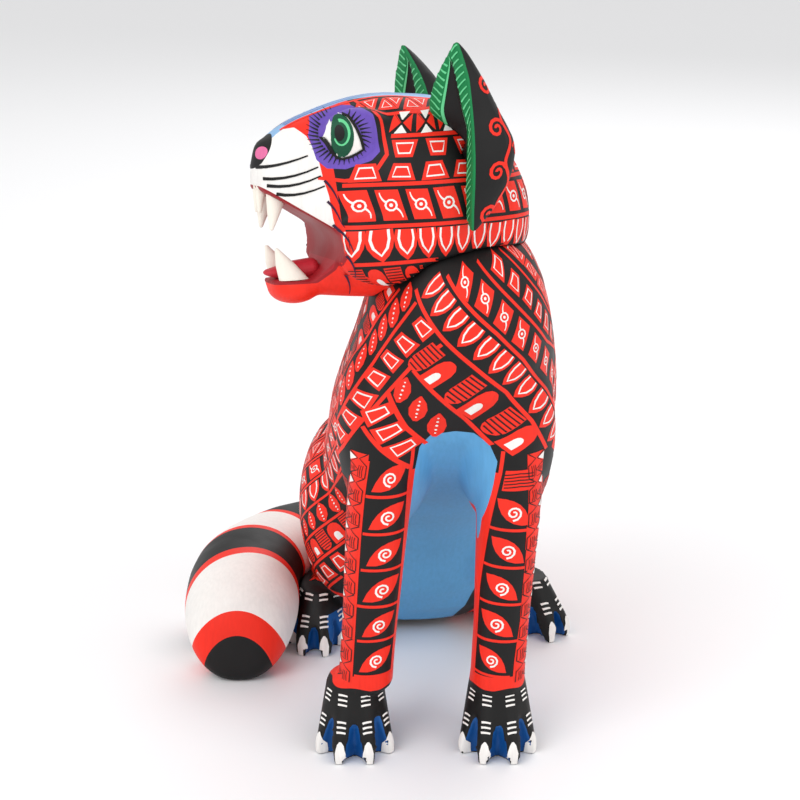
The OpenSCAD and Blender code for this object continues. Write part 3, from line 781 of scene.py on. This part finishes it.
def lay(tree, flat, put, end):
    """Lays a flat mesh on the wood through the chart, and gives it its paint."""
    lies = join(tree, "ShaderNodeSeparateXYZ", {0: geo(tree, "InputNormal", {})}).outputs[2]
    wrong = number(tree, "LESS_THAN", number(tree, "MULTIPLY", lies, put["Handed"]), 0.0)
    sheet = geo(tree, "FlipFaces", {"Mesh": flat, "Selection": wrong})
    drawn = join(tree, "ShaderNodeSeparateXYZ", {0: geo(tree, "InputPosition", {})}).outputs
    angle = number(tree, "DIVIDE", drawn[0], put["Roundness"])
    out = add(tree, times(tree, put["Facing"], number(tree, "COSINE", angle)),
              times(tree, put["Side"], number(tree, "SINE", angle)))
    axis = add(tree, put["Middle"], times(tree, put["Climb"], drawn[1]))
    wood = join(tree, "GeometryNodeObjectInfo", {"Object": put["Wood"]}).outputs["Geometry"]
    ray = join(tree, "GeometryNodeRaycast", {
        "Target Geometry": wood, "Source Position": add(tree, axis, times(tree, out, put["Reach"])),
        "Ray Direction": times(tree, out, -1.0), "Ray Length": put["Depth"]}).outputs
    missed = join(tree, "FunctionNodeBooleanMath", {0: ray["Is Hit"]}, operation="NOT").outputs[0]
    kept = geo(tree, "DeleteGeometry", {"Geometry": sheet, "Selection": missed}, domain="POINT")
    landed = add(tree, ray["Hit Position"], times(tree, ray["Hit Normal"], put["Lift"]))
    laid = geo(tree, "SetPosition", {"Geometry": kept, "Position": landed})
    ends = tree.nodes.new("GeometryNodeInputMeshEdgeVertices").outputs
    length = join(tree, "ShaderNodeVectorMath", {0: ends["Position 1"], 1: ends["Position 2"]},
                  operation="DISTANCE").outputs["Value"]
    torn = number(tree, "GREATER_THAN", length, put["Tear"])
    whole = geo(tree, "DeleteGeometry", {"Geometry": laid, "Selection": torn}, domain="EDGE")
    real = geo(tree, "RealizeInstances", {"Geometry": whole})
    tree.links.new(geo(tree, "SetMaterial", {"Geometry": real, "Material": put["Paint"]}), end)


# %% The three trees
LINE_STEP = 1.4
tree, put, end = begin("paint_rows", (("Motif", "Object"), ("Step", "Float"), ("Size", "Float"),
                                      ("Wobble", "Float"), ("Seed", "Int")))
path = geo(tree, "MeshToCurve", {"Mesh": put["Geometry"]})
even = geo(tree, "ResampleCurve", {"Curve": path, "Length": put["Step"]}, mode="LENGTH")
tangent = join(tree, "ShaderNodeSeparateXYZ", {0: geo(tree, "InputTangent", {})}).outputs
heading = number(tree, "ARCTAN2", tangent[1], tangent[0])
jitter = join(tree, "FunctionNodeRandomValue", {2: -1.0, 3: 1.0, "Seed": put["Seed"]}, data_type="FLOAT")
turn = number(tree, "ADD", heading, number(tree, "MULTIPLY", jitter.outputs[1], put["Wobble"]))
swell = join(tree, "FunctionNodeRandomValue", {2: 0.95, 3: 1.06, "Seed": put["Seed"]}, data_type="FLOAT")
motif = join(tree, "GeometryNodeObjectInfo", {"Object": put["Motif"]}).outputs["Geometry"]
placed = geo(tree, "InstanceOnPoints", {
    "Points": even, "Instance": motif,
    "Rotation": join(tree, "ShaderNodeCombineXYZ", {2: turn}).outputs[0],
    "Scale": number(tree, "MULTIPLY", put["Size"], swell.outputs[1])})
lay(tree, geo(tree, "RealizeInstances", {"Geometry": placed}), put, end)
rows_tree = tree

tree, put, end = begin("paint_lines", (("Width", "Float"),))
path = geo(tree, "MeshToCurve", {"Mesh": put["Geometry"]})
even = geo(tree, "ResampleCurve", {"Curve": path, "Length": LINE_STEP * MM}, mode="LENGTH")
upright = join(tree, "GeometryNodeSetCurveNormal", {"Curve": even})
if "Mode" in upright.inputs:
    upright.inputs["Mode"].default_value = "Z Up"
else:
    upright.mode = "Z_UP"
half = number(tree, "MULTIPLY", put["Width"], 0.5)
other_half = number(tree, "MULTIPLY", half, -1.0)
brush = geo(tree, "CurvePrimitiveLine", {
    "Start": join(tree, "ShaderNodeCombineXYZ", {0: other_half}).outputs[0],
    "End": join(tree, "ShaderNodeCombineXYZ", {0: half}).outputs[0]})
strip = geo(tree, "CurveToMesh", {"Curve": upright.outputs[0], "Profile Curve": brush})
lay(tree, strip, put, end)
lines_tree = tree

marks_tree, put, end = begin("paint_marks", ())
lay(marks_tree, put["Geometry"], put, end)
print("trees:", rows_tree.name, lines_tree.name, marks_tree.name)


# %% [markdown]
# A chart wraps a drawing round a middle line. Where the drawing is laid straight from one side, the
# middle line is simply very far behind the wood, so the same tree does both. The brushwork waits in a
# queue until all of it is drawn, so the trees are evaluated together, in one update of the scene.

# %% Charts, and the queue of brushwork
STRAIGHT = 20.0
LIFT, USUAL_LIFT = {"red": 0.10, "black": 0.20, "white": 0.19}, 0.14
queue = []


def chart(wood, middle, facing, side, climb, roundness, reach, tear=4.0, depth=None):
    """How a flat drawing wraps on a piece. A roundness of 0 means straight from one side."""
    facing, side, climb = (np.array(v, float) for v in (facing, side, climb))
    handed = 1.0 if np.cross(side, climb) @ facing > 0 else -1.0
    back = 0 if roundness else STRAIGHT
    return {"Wood": wood, "Middle": np.array(middle) - facing * back, "Facing": facing, "Side": side,
            "Climb": climb, "Roundness": roundness * MM or STRAIGHT, "Reach": reach * MM + back,
            "Depth": (depth or reach) * MM, "Tear": tear * MM, "Handed": handed}


def lay_brush(tree, mesh, where, paint, lift=None, **settings):
    """Queues one piece of brushwork: a mesh, its chart, its paint and the tree that lays it."""
    brushwork = new_object("brushwork", mesh)
    modifier = brushwork.modifiers.new("paint", "NODES")
    modifier.node_group = tree
    height = LIFT.get(paint, USUAL_LIFT) if lift is None else lift
    values = {**where, **settings, "Paint": PAINTS[paint], "Lift": height * MM}
    for item in tree.interface.items_tree:
        if item.in_out == "INPUT" and item.name in values:
            value = values[item.name]
            vector = isinstance(value, np.ndarray)
            modifier[item.identifier] = list(map(float, value)) if vector else value
    queue.append((where["Wood"].name, paint, brushwork))


def paths_mesh(paths):
    points, edges = [], []
    for path in paths:
        edges += [(len(points) + i, len(points) + i + 1) for i in range(len(path) - 1)]
        points += [(p[0] * MM, p[1] * MM, 0) for p in path]
    mesh = bpy.data.meshes.new("paths")
    mesh.from_pydata(points, edges, [])
    return mesh


def lines(where, paths, width=1.3):
    """Red lines along some paths."""
    lay_brush(lines_tree, paths_mesh(paths), where, "red", Width=width * MM)


def row(where, name, paths, step, size=1.0, wobble=0.05):
    """One motif, repeated along some paths."""
    for paint in MOTIFS[name]:
        lay_brush(rows_tree, paths_mesh(paths), where, paint, Motif=motif_objects[name, paint],
                  Step=step * MM, Size=size, Wobble=wobble, Seed=len(name))


def marks(where, paint, *shapes, lift=None):
    """Some drawings, laid as they are."""
    lay_brush(marks_tree, flat_mesh("marks", together(*shapes)), where, paint, lift)


# %% [markdown]
# ## The torso
# Long red lines come down from the neck, cross on the chest and run round both flanks to the spine.
# Between each pair of lines one motif repeats. Flank lines are one family of slanted lines, a step of
# height apart, so both sides and the back are filled by the same loop.

# %% Chest and flanks
torso = chart(carving, RUMP_MID, (0, -1, 0), (1, 0, 0), CLIMB, TORSO_ROUND, 110)
CHEST_LINES = [
    [(-16, 173), (-2, 158), (8, 148), (18, 137), (24, 126), (28, 114)],
    [(-4, 178), (4, 170), (15, 159), (24, 148), (33, 134), (38, 122)],
    [(11, 182), (21, 171), (30, 161), (40, 150), (52, 143), (58, 135.6)],
    [(30, 184), (40, 171), (50, 160), (60, 153)],
    [(-14, 169), (-19, 158), (-23, 148), (-26, 136), (-29, 125), (-34, 112), (-42, 100)],
    [(-2, 156), (-9, 149), (-15, 137), (-20, 125), (-24, 113), (-32, 98), (-40, 82)],
    [(-24, 172), (-30, 160), (-36, 145), (-38, 132), (-44, 118)],
    [(-15, 136), (-8, 124), (-2, 117)], [(-19, 124), (-12, 116), (-5, 109)],
    [(-9, 146), (-1, 137), (7, 128), (14, 118)]]
CHEST_ROWS = [
    ("petal", 7, [(-9, 174), (1, 164), (11.5, 153.5), (21, 142.5), (28.5, 130), (33, 118)]),
    ("spiral", 8.5, [(4, 176), (13, 170), (22, 160), (32, 149), (42, 137), (47, 128)]),
    ("trapeze", 7, [(22, 180), (31, 171), (40, 160), (50, 150), (60, 140)]),
    ("triangles", 8, [(42, 182), (52, 168), (62, 156)]),
    ("hatch", 13.4, [(-4, 148), (3, 141.5), (12.5, 132), (18.5, 123)]),
    ("leaf_right", 6.6, [(-11, 138), (-5, 130.5), (0, 125)]),
    ("trapeze", 7, [(-16, 129), (-11, 122), (-7.5, 117)]),
    ("trapeze", 7, [(-34, 104), (-27, 118), (-23, 130), (-20, 142), (-15, 153), (-9, 161)]),
    ("leaf_left", 6.6, [(-37, 119), (-32, 133), (-30, 146), (-25, 158), (-19, 170)]),
    ("hatch", 10.8, [(-48, 126), (-43, 140), (-38, 154), (-32, 168)])]
FLANK_MOTIFS = (("trapeze", 7.5), ("hatch", 12), ("leaf", 6), ("petal", 7.5), ("spiral", 9), ("triangles", 9))
SLANT, BAND, SPINE, TOP = 1.3, 20, 163, 182
PAW_TOP, PAW_END, GROUND = 27, 112, 5


def first_place(side, level):
    """Where a flank line begins, as a distance round from the front, so that it clears the chest."""
    if level < 100 and side < 0:
        return 26
    if level < 160:
        return 34
    if level < 180:
        return 40
    return 49 if level < 200 or side < 0 else 60


def flank_path(side, level, first):
    """A slanted path round one flank, from the shoulder to the spine, clear of the hind paw."""
    path = [(u, level - SLANT * u) for u in np.arange(max(first, (level - TOP) / SLANT), SPINE, 3)]
    path = [(side * u, z) for u, z in path if z > (PAW_TOP if u < PAW_END else GROUND)]
    return path if side > 0 else path[::-1]


lines(torso, CHEST_LINES)
for name, step, path in CHEST_ROWS:
    row(torso, name, [path], step, size=1.3 if step > 13 else 1.0)
for side, lowest in ((1, 71), (-1, 74)):
    firsts = [(level, first_place(side, level)) for level in range(lowest, 391, BAND)]
    paths = [flank_path(side, level, first) for level, first in firsts]
    lines(torso, [path for path in paths if len(path) > 1])
    paths = [flank_path(side, level + BAND / 2, first + 2) for level, first in firsts]
    for index, (name, step) in enumerate(FLANK_MOTIFS):
        chosen = [path for path in paths[index::len(FLANK_MOTIFS)] if len(path) > 2]
        row(torso, name, chosen, step, size=1.12)
lines(torso, [[(SPINE, z) for z in range(GROUND, TOP + 1, 3)]], 2.0)
print("queued for the torso:", len(queue))

# %% [markdown]
# ## The front legs
# Each leg carries a column of red eyelets with white curls down its front, then columns of triangles,
# lobes and petals round the outer side. The inner side stays plain red. The left leg's column bends
# with the belly's arch, and has a hatched block above its eyelets.

# %% Legs
EYELETS = {-1: [(-3, 106), (-3, 38)], 1: [(1.2, 94), (-1.2, 66), (-3, 38)]}
for side in (-1, 1):
    leg = chart(carving, LEG_MID[side] * MM, (0, -1, 0), (side, 0, 0), LEG_CLIMB[side], LEG_ROUND, 20, tear=5)
    lines(leg, [INNER_LINE[side]], 1.4)
    beside = [(u + 8.6, z) for u, z in ((EYELETS[side][0][0], 112), *EYELETS[side], (-3, 31))]
    lines(leg, [beside, [(15.9, 104), (15.9, 31)], [(27.5, 92), (27.5, 31)]], 1.3)
    row(leg, "eyelet", [EYELETS[side]], 13.5, size=0.94, wobble=0.03)
    if side > 0:
        marks(leg, "red", slab([(-2.6, 109), (8.6, 109), (8.2, 102), (-3.4, 102)]))
        marks(leg, "black", *[stroke([(-2.8, z), (2.6, z + 0.5), (8.2, z)], 0.36)
                              for z in np.arange(103, 108.5, 1.1)])
    row(leg, "zigzag", [[(10.4, 110), (10.4, 33)]], 8.4, size=0.94, wobble=0.02)
    row(leg, "hatch", [[(22, 96), (22, 36)]], 11.5)
    row(leg, "petal", [[(33, 88), (33, 36)]], 7)
print("queued with the legs:", len(queue))

# %% [markdown]
# ## The head
# Rows of motifs run level round the whole head from cheek to cheek, between level red lines.

# %% Rows round the head
forward, sideways, upward = HEAD.T
round_head = chart(head, HEAD_MID, forward, sideways, upward, HEAD_ROUND, 90, tear=5)


HEAD_GIRTH = 220


def level_path(z, first):
    """A level path round the back of the head, from one cheek to the same place on the other."""
    return [(u, z) for u in np.arange(first, HEAD_GIRTH - first, 4)]


LEVELS = ((29, 34), (20.8, 31), (5, 18), (-9, 16), (-21.5, 17), (-32, 22))
lines(round_head, [level_path(z, first) for z, first in LEVELS])
for name, step, z, first, size in (("cross", 9.5, 25, 34, 0.88),
                                   ("wide", 11.2, 16.6, 36, 1.0), ("wide", 11.2, 9, 24, 1.0),
                                   ("spiral", 9.5, -2, 22, 1.2), ("petal", 6.8, -15.2, 22, 1.15),
                                   ("hatch", 9.5, -27, 24, 0.9)):
    path = level_path(z, first)
    row(round_head, name, [path[::-1] if z == 16.6 else path], step, size)
print("queued with the rows of the head:", len(queue))

# %% [markdown]
# The face is drawn from each side: an almond eye with lashes on its violet patch, whiskers on the white
# muzzle, and dark purple strokes down the edge of the cheek. Each layer of the eye lies a little higher.

# %% Eyes, lashes and whiskers
def spokes(middle, inner, outer, first, last, count, width):
    """Short tapered strokes that point away from a middle, from one angle to another."""
    made = []
    for angle in np.radians(np.linspace(first, last, count)):
        ray = np.array([math.cos(angle), math.sin(angle)])
        bend = np.array([-ray[1], ray[0]]) * 0.9
        made.append(stroke([middle + ray * inner, middle + ray * (inner + outer) / 2 + bend * 0.4,
                            middle + ray * outer + bend], width, 0.12))
    return made


EYE = np.array([37.2, 21.6])
LID_TOP = [(42.6, 21.6), (41.4, 25.2), (39.4, 28.2), (37.0, 29.3), (34.6, 27.8), (32.8, 24.2),
           (31.4, 20.5), (30.4, 17.2)]
LID_LOW = [(42.6, 21.6), (41.2, 19.2), (39.8, 16.6), (38.2, 14.4), (36.6, 14.0), (34.6, 14.7),
           (32.4, 15.8), (30.4, 17.2)]
WHISKERS = ((64, 12, 56, 12.5, 47.5, 15.5), (63, 8.4, 54, 7.5, 44.6, 11.6), (61, 6, 53, 4.6, 44, 8.6),
            (58.5, 3.2, 52, 1.4, 43, 5.2))
for side in (-1, 1):
    cheek = chart(head, HEAD_MID, side * sideways, forward, upward, 0, 70, tear=6)
    patch = ribbon(bent((45.5, 20), (38, 37), (27, 27)), bent((45.5, 20), (36, 8), (26.5, 17)))
    marks(cheek, "violet", patch, lift=0.08)
    marks(cheek, "black", *spokes(EYE, 6.0, 9.6, -180, 170, 36, 0.75), lift=0.2)
    marks(cheek, "white", ribbon(LID_TOP, LID_LOW), lift=0.3)
    marks(cheek, "iris_green", disc(*EYE, 3.5, 7.2), lift=0.42)
    ringlet = [EYE + [0.3 - 2.3 * math.sin(a), 1.2 + 3.9 * math.cos(a)]
               for a in np.radians(np.arange(-10, 250, 15))]
    marks(cheek, "leaf_green", stroke(ringlet, 1.1, 0.4), lift=0.54)
    marks(cheek, "black", disc(EYE[0] + 0.9, EYE[1] + 1.2, 1.5, 2.6, 8), lift=0.56)
    marks(cheek, "black", outline([*LID_TOP, *LID_LOW[-2:0:-1]], 1.0), lift=0.62)
    marks(cheek, "black", *[stroke(bent(w[:2], w[2:4], w[4:]), 1.15, 0.45) for w in WHISKERS], lift=0.2)
    marks(cheek, "dusk", *[stroke(bent((x + 3, z + 4), (x, z + 1), (x - 1.5, z - 5)), 0.9, 0.2)
                           for x, z in ((40, 3), (39.5, -4), (38, -12), (36.5, -21), (35, -28))], lift=0.3)
    lines(cheek, [[(45, 8), (36, 6.5), (27, 9.5), (23, 15), (23.5, 27), (28, 33)]], 1.2)
print("queued with the face:", len(queue))

# %% [markdown]
# Over the crown, thin lines follow the blue stripe, with a row of triangles on each side of it.

# %% Top of the head
crown = chart(head, HEAD_MID, upward, -sideways, forward, 0, 70, tear=3)
for side in (-1, 1):
    lines(crown, [[(side * (4.6 + 0.12 * (56 - x)), x) for x in range(54, -14, -4)]], 1.2)
    path = [(side * (14 + 0.07 * (30 - x)), x) for x in range(26, -20, -4)]
    row(crown, "triangles", [path[::-side]], 8.5, size=0.95)
    lines(crown, [[(side * (19.5 + 0.07 * (30 - x)), x) for x in range(26, -20, -4)]], 1.1)
marks(crown, "violet", *[stroke([(x, 52), (x * 1.5, 20), (x * 1.8, -20)], 0.5, 0.2)
                         for x in (-3.4, -1.4, 1.2, 3.1)], lift=0.15)
print("queued with the crown:", len(queue))

# %% [markdown]
# ## Ears and paws
# The front of each ear is green with light feathery strokes round a dark hollow, and its back carries a
# red vine with curls.

# %% Ears
for side, name in ((1, "left"), (-1, "right")):
    ear = ears[name]
    outward = side * sideways
    front = chart(ear, on_head(0, side * 32, 0), forward, outward, upward, 0, 40, depth=60)
    rear = chart(ear, on_head(-9, side * 37, 0), 0.7 * (outward - forward), -0.7 * (outward + forward),
                 upward, 0, 40, depth=48)
    marks(front, "leaf_green", outline([(0, -1.2), (6.4, 22.6), (0, 46.2), (-6.6, 22.6)], 0.9), lift=0.25)
    feathers = []
    for z in np.arange(-8, 50, 2.4):
        rim = 4.2 + 5.6 * math.sin(math.pi * (z + 12) / 66)
        rim_hollow = max(0.4, 7.2 * (1 - abs(z - 22.6) / 24))
        for way in (-1, 1):
            feathers.append(stroke([(way * (rim_hollow + 0.8), z - 1.6), (way * (rim + rim_hollow) / 2, z),
                                    (way * rim, z + 1.8)], 0.7, 0.4))
    marks(front, "leaf_green", *feathers, lift=0.2)
    vine = [stroke([(3.4 + 1.6 * math.sin(z / 2.3), z) for z in np.arange(-16, 46, 1.2)], 1.5)]
    vine += [curl(-1.2, z, 3.4, 1.4, 1.25, start=0.4) for z in (-7, 7.5, 22, 36)]
    vine += [curl(8.6, z, 2.6, 1.3, 1.0, start=2.8, hand=-1) for z in (0, 14.5, 29)]
    marks(rear, "red", *vine)
    behind = chart(ear, on_head(-9, side * 26, 0), -forward, -outward, upward, 0, 40, tear=3, depth=48)
    marks(behind, "red", stroke([(1.6 + math.sin(z / 2.3), z) for z in np.arange(22, 42, 1.2)], 1.3),
          *[curl(-1.5, z, 2.6, 1.3, 1.1, start=0.4) for z in (26, 34)])
print("queued with the ears:", len(queue))

# %% [markdown]
# Each toe gets a white claw and two groups of three short dashes, one low and one high, so one small
# drawing serves all sixteen toes.

# %% Claws and dashes
CLAW = mirrored([(-1.5, 0.5), (-1.75, 4.5), (-1.1, 7.4), (-0.3, 8.6)])
DASHES = [stroke(bent((-1.6, z - 0.2), (0, z + 0.3), (1.7, z - 0.1)), 0.75, 0.6) for z in (11.6, 13.3, 15.0)]
DASHES += [stroke(bent((-1.7, z), (0, z + 0.3), (1.7, z)), 0.7, 0.55) for z in (20.6, 22.2, 23.8)]
PAWS = (((-8.1, -70.75), 0, 11, (-9, -17)), ((43.9, -70.75), 0, 11, (-9, -17)),
        (tuple(HIND_TOES[-1][0]), -6, 9.5, (13, 3)), (tuple(HIND_TOES[1][0]), 44, 9.5, (13, 3)))
for heel, splay, spread, (back, ahead) in PAWS:
    turn = turned(splay, "z")
    for across, along, facing in ((-1, back, (-0.75, -0.66, 0)), (-0.43, ahead, (-0.15, -1, 0)),
                                  (0.43, ahead, (0.15, -1, 0)), (1, back, (0.75, -0.66, 0))):
        toe = np.array([*heel, 0]) + turn @ np.array([across * spread, along, 0])
        out = turn @ np.array(facing)
        out /= np.linalg.norm(out)
        toe_chart = chart(carving, toe * MM, out, np.cross((0, 0, 1), out), (0, 0, 1), 0, 8, depth=18)
        marks(toe_chart, "white", CLAW, lift=0.4)
        marks(toe_chart, "white", *DASHES, lift=0.25)
print("queued with the toes:", len(queue))

# %% [markdown]
# ## Lay it on the wood
# Now the trees are evaluated, once each, and the sheets of one colour on one piece become one mesh.

# %% Lay all the brushwork
def lay_all():
    """Evaluates every tree once, and joins the sheets of one colour on one piece."""
    bpy.context.view_layer.update()
    seen = bpy.context.evaluated_depsgraph_get()
    sheets = {}
    for wood, paint, brushwork in queue:
        mesh = bpy.data.meshes.new_from_object(brushwork.evaluated_get(seen))
        sheets.setdefault((wood, paint), bmesh.new()).from_mesh(mesh)
        bpy.data.meshes.remove(mesh)
    for brushwork in [entry[2] for entry in queue] + list(motif_objects.values()):
        bpy.data.meshes.remove(brushwork.data)
    made = {}
    for (wood, paint), sheet in sorted(sheets.items(), key=lambda entry: entry[0]):
        mesh = bpy.data.meshes.new("paint_%s_on_%s" % (paint, wood))
        sheet.to_mesh(mesh)
        sheet.free()
        mesh.materials.clear()
        mesh.materials.append(PAINTS[paint])
        mesh.shade_smooth()
        made[wood, paint] = new_object(mesh.name, mesh)
        print(mesh.name, len(mesh.polygons), "faces")
    return made


brushed_on = lay_all()

# %% [markdown]
# The teeth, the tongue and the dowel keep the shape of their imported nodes. The teeth get a smooth ivory
# paint, the tongue a wetter red, and the dowel, which is hidden in the neck, stays bare wood.

# %% Teeth, tongue and dowel
CARRIED = {"neck_dowel": brushed("bare_copal", BARE_WOOD, bristle=500, roughness=0.7, bump=0.2),
           "tongue": brushed("tongue_paint", TONGUE_RED, unevenness=0.12, roughness=0.42)}
ivory = brushed("tooth_paint", IVORY, unevenness=0.05, roughness=0.38, bump=0.08)
for name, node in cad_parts.items():
    if node.data and name not in ("body", "head", "tail", "ear_left", "ear_right"):
        for slot in range(len(node.data.materials)):
            node.data.materials[slot] = CARRIED.get(name, ivory)
print("paints of the carried nodes:", ivory.name, *[paint.name for paint in CARRIED.values()])

# %% [markdown]
# ## Ride and measure
# Each piece rides on the body that its wood belongs to, so the ears and the tail take their paint along
# when they are pulled out. The head is glued on its dowel and rides with the carving.

# %% Ride
for thing, body, node in ((carving, "carving", "body"), (head, "carving", "head"), (tail, "tail", "tail"),
                          (ears["left"], "ear_left", "ear_left"), (ears["right"], "ear_right", "ear_right")):
    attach(thing, body)
    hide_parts(node)
BODY_OF = {"carved_ear_left": "ear_left", "carved_ear_right": "ear_right", "carved_tail": "tail"}
for (wood, paint), sheet in brushed_on.items():
    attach(sheet, BODY_OF.get(wood, "carving"))
print("sheets of paint that ride:", len(brushed_on))

# %% Measure and finish
low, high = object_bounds()
print("from", np.round(np.array(low) / MM, 1), "to", np.round(np.array(high) / MM, 1), "mm")
